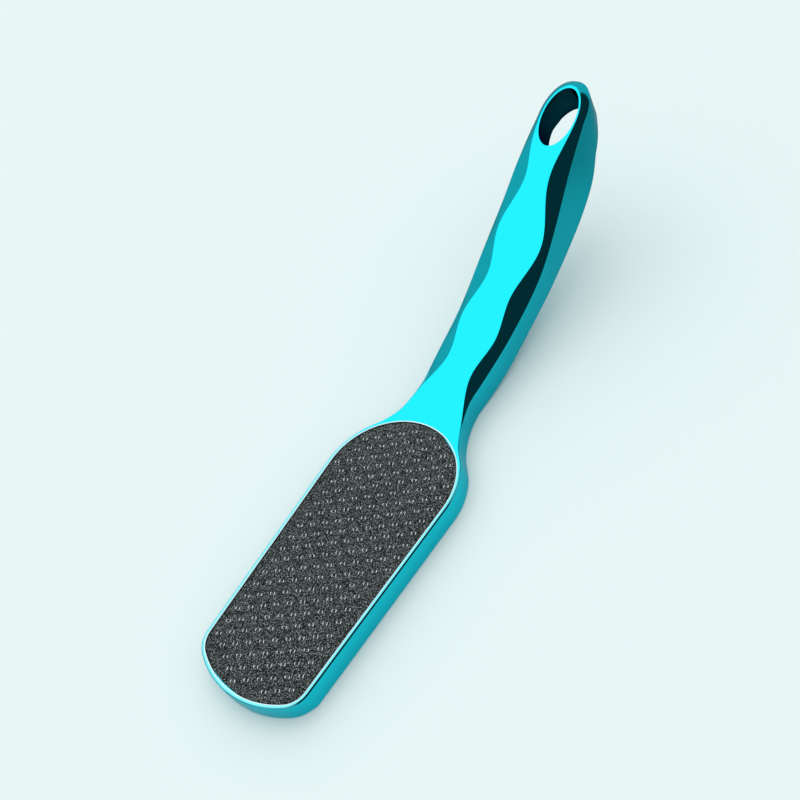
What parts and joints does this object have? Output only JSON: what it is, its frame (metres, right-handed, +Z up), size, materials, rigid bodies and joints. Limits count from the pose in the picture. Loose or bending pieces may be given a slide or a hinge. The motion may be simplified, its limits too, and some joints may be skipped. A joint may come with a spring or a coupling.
{
  "type": "foot file",
  "caption": "Paddle-shaped foot file with a toothed metal rasp plate let into a glossy body and a long S-curved, scalloped handle ending in an oval hang hole.",
  "frame": {"origin": "middle of the fine plate's face on the back of the paddle, which is the face the tool rests on", "axes": "+X along the tool towards the handle's tip, +Y to the left as the handle points away, +Z up out of the coarse plate"},
  "size_m": [0.2573, 0.0574, 0.06],
  "materials": {
    "body": "moulded ABS with a mirror-like turquoise metallised coat",
    "coarse_plate": "dark gritty steel with raised ring-shaped teeth",
    "fine_plate": "dark steel with a fine even grit",
    "adhesive": "thin foam adhesive pad, hidden"
  },
  "bodies": {
    "root": {"front_shell": "body", "back_shell": "body", "coarse_file_plate": "coarse_plate", "fine_file_plate": "fine_plate", "coarse_adhesive_pad": "adhesive", "fine_adhesive_pad": "adhesive"}
  },
  "joints": []
}
